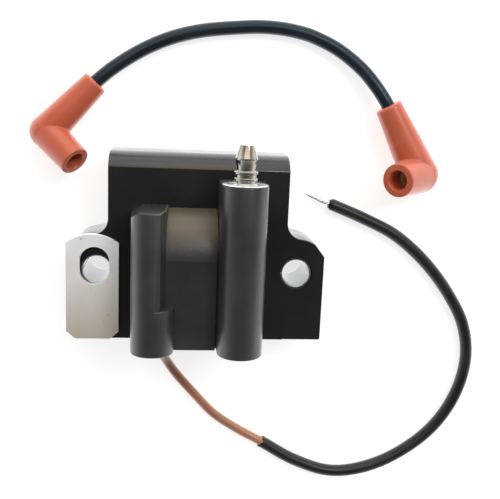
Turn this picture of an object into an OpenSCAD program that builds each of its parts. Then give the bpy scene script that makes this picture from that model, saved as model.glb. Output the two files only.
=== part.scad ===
// Ignition coil of a small outboard or stationary engine, with its primary lead
// and its separate spark plug lead.
// The coil lies on its mounting face: z = 0 is that face, +Z points out of the front,
// +Y points towards the high tension terminal, and the origin is midway between the
// two mounting holes.

/* [Mounting flange] */
// Width of the flange between its two ears
flange_w = 53.6; // [44:0.2:66]
// Height of the flange's front face above the line of the holes
flange_rise = 30.8; // [27:0.2:38]
// Depth of the flange below the line of the holes
flange_drop = 21.2; // [18:0.2:26]
// Thickness of the flange and its ears
flange_t = 18; // [15:0.5:22]
// Distance of each hole outside the flange's side
hole_out = 3.2; // [2:0.1:6]
// Distance from a hole to its ear's outer edge
ear_edge = 8.6; // [7:0.1:10.2]
// Radius of an ear's top about its hole
ear_arc_r = 10.6; // [9:0.1:13]
// Height of an ear's sharp outer corner
ear_corner_rise = 5.2; // [3:0.1:6]
// Width of an ear's slanted shoulder
ear_shoulder_w = 3; // [2:0.1:4]
// Radius of the round between an ear and the flange's side
ear_fillet_r = 4.9; // [2:0.1:7]
// Clipped corner at the grounded ear's foot
ear_clip = 3.2; // [1:0.1:4]
// Radius of the rounded top edge
top_round_r = 8.6; // [6:0.1:10.2]
// Slope at which the rounded top starts
top_round_start = 30; // [20:1:40]
// Wall of the moulded case
wall = 2; // [1.2:0.1:2.4]

/* [Mounting bushes] */
// Bore of a bush
bush_bore_d = 8.4; // [7:0.1:10]
// Wall of a bush
bush_wall = 0.5; // [0.3:0.1:0.8]
// How far a bush ends below the front face
bush_recess = 0.3; // [0:0.1:1]
// Plastic left between a bush and the inside of the case
boss_wall = 1.5; // [1:0.1:2.5]

/* [Winding barrel] */
// Outer radius of the barrel over the windings
barrel_r = 14.2; // [12:0.1:17]
// Height of the windings' axis above the line of the holes
winding_rise = 5.5; // [3:0.1:7]
// How far the barrel stands out of the flange
barrel_proud = 11; // [9.5:0.1:13.2]
// Width of the groove between the barrel and the tower
groove_w = 0.3; // [0.2:0.1:1.2]
// Depth of that groove
groove_depth = 0.9; // [0.2:0.1:1.1]

/* [Lead rib] */
// Sideways place of the rib's centre
rib_x = -13; // [-16:0.1:-11]
// Radius of the rib's round front
rib_r = 6.5; // [5.4:0.1:7.8]
// How far the rib stands out of the flange
rib_proud = 18.4; // [16:0.1:22]
// Height of the rib's top
rib_top = 20.2; // [19.8:0.1:25]
// Height of the step where the rib becomes full width
rib_step = -7.5; // [-14:0.5:-2]
// Sideways place of the cut's edge on the rib's front, from its centre
rib_cut_front = 2.1; // [1.6:0.1:3]
// Sideways place of the cut's foot on the barrel, from the rib's centre
rib_cut_foot = 3.6; // [3:0.1:4.5]
// Clipped corner at the rib's top, sideways
rib_clip_x = 3; // [1:0.1:4]
// Clipped corner at the rib's top, upwards
rib_clip_y = 2; // [1:0.1:2.6]

/* [High tension tower] */
// Sideways place of the tower's axis
tower_x = 12.3; // [10:0.1:15]
// Radius of the tower
tower_r = 6.6; // [5.8:0.1:7.9]
// How far the tower stands out of the flange
tower_proud = 20.1; // [17:0.1:24]
// Height of the tower's top
tower_top = 28.2; // [24:0.1:34]
// Bore of the tower
tower_bore_d = 10; // [9.6:0.1:11]
// Depth of the recess for the sealant
seal_recess = 1.2; // [0.6:0.1:2]
// Rim left around the sealant
seal_rim = 0.6; // [0.4:0.1:1]
// How far the sealant ends below the rim
seal_gap = 0.2; // [0:0.1:0.4]

/* [High tension terminal] */
// Diameter of the terminal's head, the plug terminal size
head_d = 6.35; // [6:0.05:7.6]
// Diameter of the flat tip
tip_d = 3.8; // [3:0.1:5]
// Length of the tapered tip
tip_h = 3.6; // [2.5:0.1:5]
// Length of the straight land at the head
land_h = 0.5; // [0.4:0.1:1.2]
// Length of the back taper under the head
back_taper_h = 2.4; // [1:0.1:3]
// Diameter of the neck above the rings
waist_d = 5.2; // [4:0.1:5.6]
// Height of the neck above the rings
waist_h = 0.75; // [0.3:0.05:1.2]
// Diameter of the upper ring
upper_ring_d = 6.8; // [6:0.1:8.2]
// Diameter of the lower ring
lower_ring_d = 6.6; // [6:0.1:7.8]
// Diameter of the groove between the rings
ring_groove_d = 5.9; // [5:0.1:5.9]
// Thickness of a ring
ring_h = 0.8; // [0.5:0.1:1.2]
// Width of the groove between the rings
ring_gap = 1; // [0.5:0.1:1.4]
// Diameter of the neck under the rings
neck_d = 5.2; // [4:0.1:5.7]
// Height of the neck above the tower
neck_h = 1.3; // [1:0.1:3]
// Diameter of the root inside the tower
root_d = 3.2; // [2:0.1:3.9]
// How far the root ends below the windings' axis
root_past = 3; // [1:0.5:5]

/* [Windings] */
// Thickness of one core lamination
lamination_t = 0.85; // [0.5:0.05:1]
// Number of core laminations
lamination_n = 8; // [5:1:8]
// Room around the core in its bobbin
core_gap = 0.1; // [0.05:0.05:0.2]
// Wall of the primary bobbin at the core's corners
bobbin_wall = 0.45; // [0.3:0.05:0.6]
// Thickness of the primary winding
primary_t = 1.5; // [0.8:0.1:1.8]
// Thickness of a bobbin's end flange
flange_end_t = 1.2; // [0.8:0.1:1.6]
// Thickness of the insulation between the windings
insulation_t = 0.3; // [0.2:0.05:0.5]
// Wall of the secondary bobbin
secondary_wall = 0.8; // [0.5:0.1:1]
// Thickness of a divider on the secondary bobbin
divider_t = 0.9; // [0.6:0.1:1.2]
// Number of sections of the secondary winding
section_n = 6; // [4:1:8]
// How far the secondary winding stays below its dividers
section_gap = 0.6; // [0.3:0.1:1]
// Room between the windings and the case
chamber_gap = 0.2; // [0.1:0.05:0.4]
// Diameter of a connecting wire
link_d = 1; // [0.6:0.1:1.4]

/* [Primary posts] */
// Diameter of a post
post_d = 1.2; // [0.8:0.1:1.5]
// Length of a post inside the bobbin's tab
post_in = 5.8; // [4:0.1:6.5]
// Length of a post outside the bobbin's tab
post_out = 0.8; // [0.5:0.1:2]
// Width of the bobbin's tab that holds the posts
tab_w = 7.5; // [6:0.1:9]

/* [Potting] */
// How far the potting ends above the mounting face
potting_recess = 0.4; // [0.2:0.1:1]

/* [Ground plate] */
// Width of the plate
plate_w = 15.6; // [14.6:0.1:17]
// Thickness of the plate
plate_t = 1.2; // [0.8:0.1:1.6]
// Radius of the plate's round top
plate_arc_r = 12.5; // [9:0.1:13]
// Height of the plate's top above the holes
plate_rise = 11; // [9:0.1:13]
// Depth of the plate's foot below the holes
plate_drop = 21.15; // [16:0.05:25.5]
// How far the plate's middle lies outside its hole
plate_shift = 1.2; // [0:0.1:1.6]
// Clipped corner at the foot, sideways
plate_clip_x = 2.6; // [0.5:0.1:4]
// Clipped corner at the foot, upwards
plate_clip_y = 2.3; // [0.5:0.1:4]
// Width of the slot
slot_w = 8.6; // [8:0.1:10]
// Length of the slot
slot_l = 11.3; // [11:0.1:14]
// How far the slot's middle lies outside its hole
slot_shift_x = 0.55; // [0:0.05:0.6]
// How far the slot's middle lies above its hole
slot_shift_y = 1.45; // [0:0.05:1.5]
// Width of the tongue that runs into the case
tongue_w = 7; // [4:0.5:8]
// Length of the tongue behind the plate
tongue_l = 8; // [5.6:0.5:10]
// Depth of the tongue's upper edge below the holes
tongue_drop = 7; // [6.5:0.5:9]

/* [Primary lead] */
// Diameter of the orange insulation
lead_d = 3; // [2.6:0.1:3]
// Diameter of the bore in the insulation
lead_bore_d = 1.6; // [1.2:0.1:1.8]
// Diameter of the stranded conductor
conductor_d = 1.5; // [1:0.1:1.5]
// Diameter of the black sleeve
sleeve_d = 4; // [3.6:0.1:4]
// Bore of the black sleeve
sleeve_bore_d = 3.2; // [3.2:0.1:3.4]
// Diameter of the grommet in the case wall
grommet_d = 4.8; // [4:0.1:6]
// Diameter of the grommet's lip
grommet_lip_d = 6; // [5:0.1:8]
// Thickness of the grommet's lip
grommet_lip_t = 0.8; // [0.4:0.1:1.2]

/* [Spark plug lead] */
// Diameter of the cable's jacket
cable_d = 4.2; // [3.6:0.1:4.2]
// Bore of the cable's jacket
cable_bore_d = 2; // [1.8:0.1:2.2]
// Diameter of the cable's core
cable_core_d = 1.9; // [1.2:0.1:1.9]
// Room around the cable in a boot
cable_gap = 0.08; // [0.02:0.01:0.1]

/* [Coil end boot] */
// Radius at the cable's mouth
coil_boot_mouth_r = 3.9; // [3:0.1:4.8]
// Radius at the elbow
coil_boot_elbow_r = 5.2; // [4.4:0.1:5.2]
// Radius at the socket's end
coil_boot_end_r = 4.6; // [3.6:0.1:5.2]
// Length from the elbow to the cable's mouth
coil_boot_leg_l = 21.2; // [18:0.1:26]
// Length from the elbow to the socket's end
coil_boot_socket_l = 14.2; // [12:0.1:18]
// Radius of the socket
coil_boot_bore_r = 2.85; // [2.6:0.05:3.2]
// Angle of the elbow
coil_boot_angle = 88; // [70:1:110]
// Turn of the socket about the cable
coil_boot_turn = 150; // [0:1:180]

/* [Plug end boot] */
// Radius at the cable's mouth
plug_boot_mouth_r = 4.2; // [3:0.1:5]
// Radius at the elbow
plug_boot_elbow_r = 6; // [4.6:0.1:6]
// Radius at the socket's end
plug_boot_end_r = 5.2; // [3.9:0.1:6]
// Length from the elbow to the cable's mouth
plug_boot_leg_l = 24.2; // [20:0.1:28]
// Length from the elbow to the socket's end
plug_boot_socket_l = 13.8; // [12:0.1:18]
// Radius of the socket
plug_boot_bore_r = 3.1; // [2.6:0.05:3.6]
// Angle of the elbow
plug_boot_angle = 74; // [60:1:110]
// Turn of the socket about the cable
plug_boot_turn = 47; // [0:1:180]

/* [Spring terminals] */
// Length of a socket's wide mouth, in front of the spring clip
socket_free_l = 6.5; // [4:0.5:8]
// Step in radius from the mouth to the clip's seat
clip_step = 0.35; // [0.2:0.05:0.6]
// Distance of the clip's floor from the elbow
clip_floor = 3; // [2.5:0.1:4]
// Wall of the spring clip
clip_wall = 0.35; // [0.2:0.05:0.5]
// Room around the clip
clip_gap = 0.05; // [0.02:0.01:0.1]
// Diameter of the wire that joins the clip to the cable
prong_d = 1.2; // [0.8:0.1:1.5]
// Bore around that wire inside the boot
prong_bore_d = 2.6; // [2:0.1:3.4]
// How far the wire reaches into the cable
prong_reach = 5; // [3:0.5:8]

/* [Hidden] */

$fn = 64;
cord_sides = 8;
past = 1; // how far a cut runs past the face it opens
elbow_ease = 0.1; // how far an elbow's ball stands out of its two arms

hole_x = flange_w / 2 + hole_out;
bush_r = bush_bore_d / 2 + bush_wall;
bar_axis_y = flange_rise - top_round_r * sin(top_round_start);
bar_axis_z = flange_t - top_round_r * cos(top_round_start);
bar_top = bar_axis_y + top_round_r;
fillet_y = sqrt(pow(ear_arc_r + ear_fillet_r, 2) - pow(ear_fillet_r - hole_out, 2));

barrel_front = flange_t + barrel_proud;
barrel_axis_z = barrel_front - barrel_r;
rib_axis_z = flange_t + rib_proud - rib_r;
tower_axis_z = flange_t + tower_proud - tower_r;
tower_left = tower_x - tower_r;
seal_floor = tower_top - seal_recess;

chamber_r = barrel_r - wall;
chamber_left = rib_x - rib_r + wall;
chamber_right = tower_x + tower_r - wall;
cavity_half_w = hole_x - bush_r - boss_wall;
cavity_front = flange_t - wall;
cavity_floor = -flange_drop + wall;
pocket_right = rib_x + rib_cut_front - wall / 2;

core_side = lamination_t * lamination_n;
core_hole = core_side + 2 * core_gap;
bobbin_left = chamber_left + chamber_gap;
bobbin_right = chamber_right - chamber_gap;
wound_left = bobbin_left + flange_end_t;
wound_right = bobbin_right - flange_end_t;
wound_l = wound_right - wound_left;
bobbin_r = core_hole / sqrt(2) + bobbin_wall;
primary_r = bobbin_r + primary_t;
primary_flange_r = primary_r + chamber_gap;
insulation_r = primary_flange_r + insulation_t;
secondary_r = insulation_r + secondary_wall;
divider_r = chamber_r - chamber_gap;
winding_r = divider_r - section_gap;
section_w = (wound_l - (section_n + 1) * divider_t) / section_n;
link_x = wound_right - divider_t - section_w / 2;

lead_x = -12;
lead_z = 11;
solder_y = -14.8; // where the conductor meets its post
post_y = solder_y + post_d / 2;
ground_post_y = -11;
ground_post_z = 13;
tab_under = 2.3; // tab below the lead's post
tab_floor = post_y - tab_under;
tab_behind = 3; // tab behind the lead's post
tab_z = lead_z - tab_behind;

plate_x = -hole_x - plate_shift;
plate_arc_y = plate_rise - plate_arc_r;
tongue_x = plate_x + plate_w / 2 - plate_t;

// The primary lead: solder joint, out through the grommet, down to the table,
// and round to its bare end beside the coil
LEAD = [[-12, -14.8, 11], [-12, -17, 11], [-12, -23, 11], [-11.4, -28, 8.4],
    [-9.3, -33.1, 3.6], [-5.8, -38.9, 1.5], [0.4, -46, 1.5], [7, -53, 1.5],
    [14.8, -58.4, 1.5], [23.8, -63.3, 1.8], [35.1, -69.8, 2], [48, -74.1, 2], [60.1, -72.9, 2],
    [72.1, -67.5, 2], [83.2, -58.2, 2], [90.3, -46.3, 2], [93, -33.1, 2], [90.8, -20.7, 2],
    [84.3, -9.4, 2], [75.2, 1.3, 2], [64.8, 9.7, 2], [54.1, 14.9, 2], [43, 19.3, 2],
    [34.3, 22.4, 1.4]];
LEAD_STRIPPED = 1; // the insulation starts at this point
LEAD_SLEEVED = 9; // the sleeve starts at this point
LEAD_BARED = 22; // the insulation and the sleeve end at this point

// The plug lead: from the cable's end in one boot to its end in the other
CABLE = [[-39.5, 46.4, 5.2], [-31.5, 54.8, 5.2], [-25.7, 59.7, 4.4], [-17.7, 64.9, 3.2],
    [-9.2, 68.8, 2.4], [0.1, 71.3, 2.1], [12, 72.8, 2.1], [18, 73.2, 2.1], [24, 73, 2.1],
    [29, 72.3, 2.1], [33.9, 71.1, 2.2], [41.8, 67.6, 2.6], [49.2, 62.2, 3.8], [53.9, 57, 5.2],
    [58, 51.2, 6], [64.9, 38.9, 6]];
CABLE_END = len(CABLE) - 1;
coil_seat_l = 11.6; // cable inside the coil end boot
plug_seat_l = 14.2; // cable inside the plug end boot

function unit(v) = v / norm(v);
function part_of(route, first, last) = [for (i = [first:last]) route[i]];
function along(route, i) = let (last = len(route) - 1)
    unit(route[min(i + 1, last)] - route[max(i - 1, 0)]);
function ring(p, t, r) = let (side = unit(cross(t, [0, 0, 1])), up = cross(side, t))
    [for (k = [0:cord_sides - 1]) let (a = 360 * (k + 0.5) / cord_sides)
        p + r * (cos(a) * side + sin(a) * up)];
function skin(first, rings, flip) = [for (i = [0:rings - 2], k = [0:cord_sides - 1])
    let (a = first + i * cord_sides + k, b = first + i * cord_sides + (k + 1) % cord_sides,
        face = [a, b, b + cord_sides, a + cord_sides])
    flip ? [face[3], face[2], face[1], face[0]] : face];
function disc(first, flip) = [for (k = [0:cord_sides - 1])
    first + (flip ? cord_sides - 1 - k : k)];
function washer(outer, inner, flip) = [for (k = [0:cord_sides - 1])
    let (n = (k + 1) % cord_sides, face = [outer + n, outer + k, inner + k, inner + n])
    flip ? [face[3], face[2], face[1], face[0]] : face];

// A tube swept along a route; bore_r of 0 makes it solid
module swept_tube(route, r, bore_r = 0) {
    n = len(route);
    last = (n - 1) * cord_sides;
    outer = [for (i = [0:n - 1]) each ring(route[i], along(route, i), r)];
    if (bore_r == 0)
        polyhedron(outer, concat(skin(0, n, false), [disc(0, true)], [disc(last, false)]), 4);
    else {
        inner = [for (i = [0:n - 1]) each ring(route[i], along(route, i), bore_r)];
        base = n * cord_sides;
        polyhedron(concat(outer, inner), concat(skin(0, n, false), skin(base, n, true),
            washer(0, base, false), washer(last, base + last, true)), 4);
    }
}

// A round bar along X, from x0 to x1
module bar_x(x0, x1, r, y = 0, z = 0) {
    translate([x0, y, z]) rotate([0, 90, 0]) cylinder(h = x1 - x0, r = r);
}

// A round bar along Y, from y0 to y1
module bar_y(y0, y1, r, x = 0, z = 0) {
    translate([x, y0, z]) rotate([-90, 0, 0]) cylinder(h = y1 - y0, r = r);
}

// A box between two corners
module block(low, high) {
    translate(low) cube(high - low);
}

// The flange's outline on one side, in X and Y
module ear_outline() {
    step_x = ear_edge - ear_shoulder_w;
    step_y = sqrt(pow(ear_arc_r, 2) - pow(step_x, 2));
    difference() {
        intersection() {
            union() {
                circle(ear_arc_r);
                translate([-hole_out, -flange_drop])
                    square([hole_out + ear_edge, flange_drop + ear_corner_rise]);
                translate([-hole_out, 0])
                    square([ear_fillet_r, fillet_y]);
            }
            polygon([[-hole_out - past, -flange_drop], [ear_edge, -flange_drop],
                [ear_edge, ear_corner_rise], [step_x, step_y], [step_x, fillet_y],
                [-hole_out - past, fillet_y]]);
        }
        translate([ear_fillet_r - hole_out, fillet_y]) circle(ear_fillet_r);
    }
}

module flange_solid() {
    translate([hole_x, 0, 0]) linear_extrude(flange_t) ear_outline();
    mirror([1, 0, 0]) translate([hole_x, 0, 0]) linear_extrude(flange_t) difference() {
        ear_outline();
        polygon([[ear_edge - ear_clip, -flange_drop - past], [ear_edge + past, -flange_drop - past],
            [ear_edge + past, -flange_drop + ear_clip], [ear_edge, -flange_drop + ear_clip],
            [ear_edge - ear_clip, -flange_drop]]);
    }
    block([-flange_w / 2, -flange_drop, 0], [flange_w / 2, flange_rise, flange_t]);
    block([-flange_w / 2, flange_rise - past, 0], [flange_w / 2, bar_top, bar_axis_z]);
    intersection() {
        bar_x(-flange_w / 2, flange_w / 2, top_round_r, bar_axis_y, bar_axis_z);
        block([-flange_w / 2, 0, 0], [flange_w / 2, bar_top, flange_t]);
    }
}

// The barrel's solid between two places along X, thinned by inset
module barrel_solid(x0, x1, inset) {
    bar_x(x0, x1, barrel_r - inset, winding_rise, barrel_axis_z);
    block([x0, -flange_drop, flange_t - past], [x1, winding_rise, barrel_front - inset]);
}

// A post with a round front, like the rib and the tower
module post_solid(x, r, axis_z, y0, y1) {
    bar_y(y0, y1, r, x, axis_z);
    block([x - r, y0, flange_t - past], [x + r, y1, axis_z]);
}

module rib_solid() {
    post_solid(rib_x, rib_r, rib_axis_z, -flange_drop, rib_step);
    difference() {
        post_solid(rib_x, rib_r, rib_axis_z, rib_step - past, rib_top);
        translate([rib_x, rib_top + past, 0]) rotate([90, 0, 0])
            linear_extrude(rib_top - rib_step + past)
            polygon([[rib_cut_foot, 0], [rib_cut_foot, barrel_front],
                [rib_cut_front, flange_t + rib_proud + past],
                [rib_r + past, flange_t + rib_proud + past], [rib_r + past, 0]]);
        translate([rib_x - rib_r, rib_top, flange_t]) linear_extrude(rib_proud + past)
            polygon([[-past, -rib_clip_y * (1 + past / rib_clip_x)],
                [rib_clip_x + past, rib_clip_y * past / rib_clip_x],
                [-past, rib_clip_y * past / rib_clip_x]]);
    }
}

// All the room inside the case, from z = floor_z up
module cavity(floor_z) {
    block([-cavity_half_w, cavity_floor, floor_z], [cavity_half_w, flange_rise, cavity_front]);
    bar_x(chamber_left, chamber_right, chamber_r, winding_rise, barrel_axis_z);
    block([chamber_left, cavity_floor, cavity_front - past],
        [pocket_right, rib_top - wall, rib_axis_z + past]);
    bar_y(winding_rise - root_past - past, seal_floor, tower_bore_d / 2, tower_x, tower_axis_z);
    translate([link_x, winding_rise, barrel_axis_z])
        cylinder(h = tower_axis_z - barrel_axis_z, r = 2 * link_d);
}

module bush(side) {
    translate([side * hole_x, 0, 0]) difference() {
        cylinder(h = flange_t - bush_recess, r = bush_r);
        translate([0, 0, -past]) cylinder(h = flange_t + 2 * past, r = bush_bore_d / 2);
    }
}

module tongue() {
    block([tongue_x, -tongue_drop - tongue_w, flange_t - tongue_l],
        [tongue_x + plate_t, -tongue_drop, flange_t]);
}

module case() color([0.13, 0.13, 0.14]) difference() {
    union() {
        flange_solid();
        barrel_solid(rib_x, tower_left - groove_w, 0);
        barrel_solid(tower_left - groove_w - past, tower_x, groove_depth);
        rib_solid();
        post_solid(tower_x, tower_r, tower_axis_z, -flange_drop, tower_top);
    }
    cavity(-past);
    bar_y(seal_floor, tower_top + past, tower_r - seal_rim, tower_x, tower_axis_z);
    for (side = [-1, 1]) translate([side * hole_x, 0, -past])
        cylinder(h = flange_t + 2 * past, r = bush_r);
    tongue();
    bar_y(-flange_drop - past, cavity_floor + past, grommet_d / 2, lead_x, lead_z);
}

module core_laminations() color([0.42, 0.43, 0.45])
    for (i = [0:lamination_n - 1])
        translate([bobbin_left, winding_rise - core_side / 2,
            barrel_axis_z - core_side / 2 + i * lamination_t])
            cube([bobbin_right - bobbin_left, core_side, lamination_t]);

module core_room() {
    translate([bobbin_left - past, winding_rise - core_hole / 2, barrel_axis_z - core_hole / 2])
        cube([bobbin_right - bobbin_left + 2 * past, core_hole, core_hole]);
}

module post_pair(r) {
    for (place = [[post_y, lead_z], [ground_post_y, ground_post_z]])
        bar_x(bobbin_left - post_out, wound_left + post_in, r, place[0], place[1]);
}

module primary_bobbin() color([0.82, 0.78, 0.66]) difference() {
    union() {
        bar_x(bobbin_left, bobbin_right, bobbin_r, winding_rise, barrel_axis_z);
        bar_x(bobbin_left, wound_left, primary_flange_r, winding_rise, barrel_axis_z);
        bar_x(wound_right, bobbin_right, primary_flange_r, winding_rise, barrel_axis_z);
        block([bobbin_left, tab_floor, tab_z], [wound_left, 0, tab_z + tab_w]);
    }
    core_room();
    post_pair(post_d / 2);
}

module coil_ring(x0, x1, r, bore_r) {
    difference() {
        bar_x(x0, x1, r, winding_rise, barrel_axis_z);
        bar_x(x0 - past, x1 + past, bore_r, winding_rise, barrel_axis_z);
    }
}

module primary_winding() color([0.72, 0.36, 0.16])
    coil_ring(wound_left, wound_right, primary_r, bobbin_r);

module winding_insulation() color([0.88, 0.8, 0.5])
    coil_ring(wound_left, wound_right, insulation_r, primary_flange_r);

module secondary_bobbin() color([0.9, 0.88, 0.82]) {
    coil_ring(wound_left, wound_right, secondary_r, insulation_r);
    for (i = [0:section_n])
        let (x = wound_left + i * (divider_t + section_w))
        coil_ring(x, x + divider_t, divider_r, insulation_r);
}

module secondary_winding() color([0.66, 0.3, 0.12])
    for (i = [0:section_n - 1])
        let (x = wound_left + divider_t + i * (divider_t + section_w))
        coil_ring(x, x + section_w, winding_r, secondary_r);

module terminal_root() {
    bar_y(winding_rise - root_past, seal_floor, root_d / 2, tower_x, tower_axis_z);
}

module high_tension_link() color([0.75, 0.72, 0.66]) difference() {
    translate([link_x, winding_rise, barrel_axis_z])
        cylinder(h = tower_axis_z - barrel_axis_z, r = link_d / 2);
    bar_x(wound_left, wound_right, winding_r, winding_rise, barrel_axis_z);
    terminal_root();
}

module high_tension_terminal() color([0.78, 0.77, 0.74]) {
    neck_top = tower_top + neck_h;
    lower_top = neck_top + ring_h;
    upper_foot = lower_top + ring_gap;
    upper_top = upper_foot + ring_h;
    waist_top = upper_top + waist_h;
    land_foot = waist_top + back_taper_h;
    land_top = land_foot + land_h;
    translate([tower_x, 0, tower_axis_z]) rotate([-90, 0, 0]) rotate_extrude()
        polygon([[0, winding_rise - root_past], [root_d / 2, winding_rise - root_past],
            [root_d / 2, seal_floor], [neck_d / 2, seal_floor], [neck_d / 2, neck_top],
            [lower_ring_d / 2, neck_top], [lower_ring_d / 2, lower_top],
            [ring_groove_d / 2, lower_top], [ring_groove_d / 2, upper_foot],
            [upper_ring_d / 2, upper_foot], [upper_ring_d / 2, upper_top],
            [waist_d / 2, upper_top], [waist_d / 2, waist_top], [head_d / 2, land_foot],
            [head_d / 2, land_top], [tip_d / 2, land_top + tip_h], [0, land_top + tip_h]]);
}

module tower_sealant() color([0.75, 0.77, 0.8]) difference() {
    bar_y(seal_floor, tower_top - seal_gap, tower_r - seal_rim, tower_x, tower_axis_z);
    bar_y(seal_floor - past, tower_top, neck_d / 2, tower_x, tower_axis_z);
}

module primary_posts() color([0.8, 0.7, 0.42]) post_pair(post_d / 2);

module ground_wire() color([0.72, 0.45, 0.24])
    bar_x(tongue_x + plate_t, bobbin_left - post_out, link_d / 2, ground_post_y, ground_post_z);

module ground_plate() color([0.74, 0.74, 0.73]) {
    translate([0, 0, flange_t]) linear_extrude(plate_t) difference() {
        translate([plate_x, 0]) intersection() {
            union() {
                translate([0, plate_arc_y]) circle(plate_arc_r);
                translate([-plate_w / 2, -plate_drop])
                    square([plate_w, plate_drop + plate_arc_y]);
            }
            polygon([[-plate_w / 2, -plate_drop + plate_clip_y],
                [-plate_w / 2 + plate_clip_x, -plate_drop],
                [plate_w / 2 - plate_clip_x, -plate_drop],
                [plate_w / 2, -plate_drop + plate_clip_y],
                [plate_w / 2, plate_rise], [-plate_w / 2, plate_rise]]);
        }
        translate([-hole_x - slot_shift_x, slot_shift_y]) {
            for (side = [-1, 1]) translate([0, side * (slot_l - slot_w) / 2])
                circle(slot_w / 2);
            square([slot_w, slot_l - slot_w], center = true);
        }
    }
    tongue();
}

module lead_grommet() color([0.1, 0.1, 0.1]) difference() {
    union() {
        bar_y(-flange_drop, cavity_floor, grommet_d / 2, lead_x, lead_z);
        bar_y(-flange_drop - grommet_lip_t, -flange_drop, grommet_lip_d / 2, lead_x, lead_z);
    }
    bar_y(-flange_drop - grommet_lip_t - past, cavity_floor + past, lead_d / 2, lead_x, lead_z);
}

module lead_conductor() color([0.78, 0.76, 0.72]) swept_tube(LEAD, conductor_d / 2);

module lead_insulation() color([0.78, 0.42, 0.24])
    swept_tube(part_of(LEAD, LEAD_STRIPPED, LEAD_BARED), lead_d / 2, lead_bore_d / 2);

module lead_sleeve() color([0.09, 0.09, 0.09])
    swept_tube(part_of(LEAD, LEAD_SLEEVED, LEAD_BARED), sleeve_d / 2, sleeve_bore_d / 2);

// Everything inside the case that the potting flows round
module potted_pieces() {
    bar_x(bobbin_left, bobbin_right, primary_flange_r, winding_rise, barrel_axis_z);
    bar_x(wound_left, wound_right, divider_r, winding_rise, barrel_axis_z);
    block([bobbin_left, tab_floor, tab_z], [wound_left, 0, tab_z + tab_w]);
    post_pair(post_d / 2);
    ground_wire();
    tongue();
    terminal_root();
    translate([link_x, winding_rise, barrel_axis_z])
        cylinder(h = tower_axis_z - barrel_axis_z, r = link_d / 2);
    bar_y(cavity_floor - past, LEAD[LEAD_STRIPPED][1], lead_d / 2, lead_x, lead_z);
    bar_y(LEAD[LEAD_STRIPPED][1] - past, solder_y, conductor_d / 2, lead_x, lead_z);
}

module potting() color([0.1, 0.1, 0.1]) difference() {
    cavity(potting_recess);
    potted_pieces();
}

module plug_cable_jacket() color([0.1, 0.11, 0.12])
    swept_tube(CABLE, cable_d / 2, cable_bore_d / 2);

// The core stops short of each end, where the spring's wire goes in
module plug_cable_core() color([0.7, 0.5, 0.3]) {
    first = CABLE[0] + (prong_reach + past) * unit(CABLE[1] - CABLE[0]);
    last = CABLE[CABLE_END]
        + (prong_reach + past) * unit(CABLE[CABLE_END - 1] - CABLE[CABLE_END]);
    swept_tube(concat([first], part_of(CABLE, 1, CABLE_END - 1), [last]), cable_core_d / 2);
}

// Moves a boot's own frame, with its elbow at the origin and its leg along +X,
// to the end of the cable: from the cable's end, towards the next point on it
module at_cable_end(end, next, elbow_l) {
    way = unit(next - end);
    translate(end - elbow_l * way) rotate([0, 0, atan2(way[1], way[0])]) children();
}

// Turns a bar along +Z to point down a boot's socket
module down_socket(angle, turn) {
    rotate([turn, 0, 0]) rotate([0, 0, angle]) rotate([0, 90, 0]) children();
}

module boot(mouth_r, elbow_r, end_r, leg_l, seat_l, socket_l, bore_r, angle, turn) {
    difference() {
        union() {
            sphere(elbow_r);
            rotate([0, 90, 0]) cylinder(h = leg_l, r1 = elbow_r - elbow_ease, r2 = mouth_r);
            down_socket(angle, turn)
                cylinder(h = socket_l, r1 = elbow_r - elbow_ease, r2 = end_r);
        }
        bar_x(leg_l - seat_l, leg_l + past, cable_d / 2 + cable_gap);
        bar_x(0, leg_l, prong_bore_d / 2);
        sphere(prong_bore_d / 2 + elbow_ease);
        down_socket(angle, turn) {
            cylinder(h = socket_l, r = prong_bore_d / 2);
            translate([0, 0, clip_floor]) cylinder(h = socket_l, r = bore_r - clip_step);
            translate([0, 0, socket_l - socket_free_l]) cylinder(h = socket_l, r = bore_r);
        }
    }
}

module spring(leg_l, seat_l, socket_l, bore_r, angle, turn) {
    clip_r = bore_r - clip_step - clip_gap;
    clip_l = socket_l - socket_free_l - clip_floor - clip_gap;
    sphere(prong_d / 2);
    bar_x(0, leg_l - seat_l + prong_reach, prong_d / 2);
    down_socket(angle, turn) {
        cylinder(h = clip_floor + clip_wall, r = prong_d / 2);
        translate([0, 0, clip_floor]) difference() {
            cylinder(h = clip_l, r = clip_r);
            translate([0, 0, clip_wall]) cylinder(h = clip_l, r = clip_r - clip_wall);
        }
    }
}

module at_coil_end() {
    at_cable_end(CABLE[0], CABLE[1], coil_boot_leg_l - coil_seat_l) children();
}

module at_plug_end() {
    at_cable_end(CABLE[CABLE_END], CABLE[CABLE_END - 1], plug_boot_leg_l - plug_seat_l)
        children();
}

module coil_end_boot() color([0.78, 0.38, 0.27]) at_coil_end()
    boot(coil_boot_mouth_r, coil_boot_elbow_r, coil_boot_end_r, coil_boot_leg_l,
        coil_seat_l, coil_boot_socket_l, coil_boot_bore_r, coil_boot_angle, coil_boot_turn);

module coil_end_spring() color([0.78, 0.7, 0.45]) at_coil_end()
    spring(coil_boot_leg_l, coil_seat_l, coil_boot_socket_l, coil_boot_bore_r,
        coil_boot_angle, coil_boot_turn);

module plug_end_boot() color([0.78, 0.38, 0.27]) at_plug_end()
    boot(plug_boot_mouth_r, plug_boot_elbow_r, plug_boot_end_r, plug_boot_leg_l,
        plug_seat_l, plug_boot_socket_l, plug_boot_bore_r, plug_boot_angle, plug_boot_turn);

module plug_end_spring() color([0.78, 0.7, 0.45]) at_plug_end()
    spring(plug_boot_leg_l, plug_seat_l, plug_boot_socket_l, plug_boot_bore_r,
        plug_boot_angle, plug_boot_turn);

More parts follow.
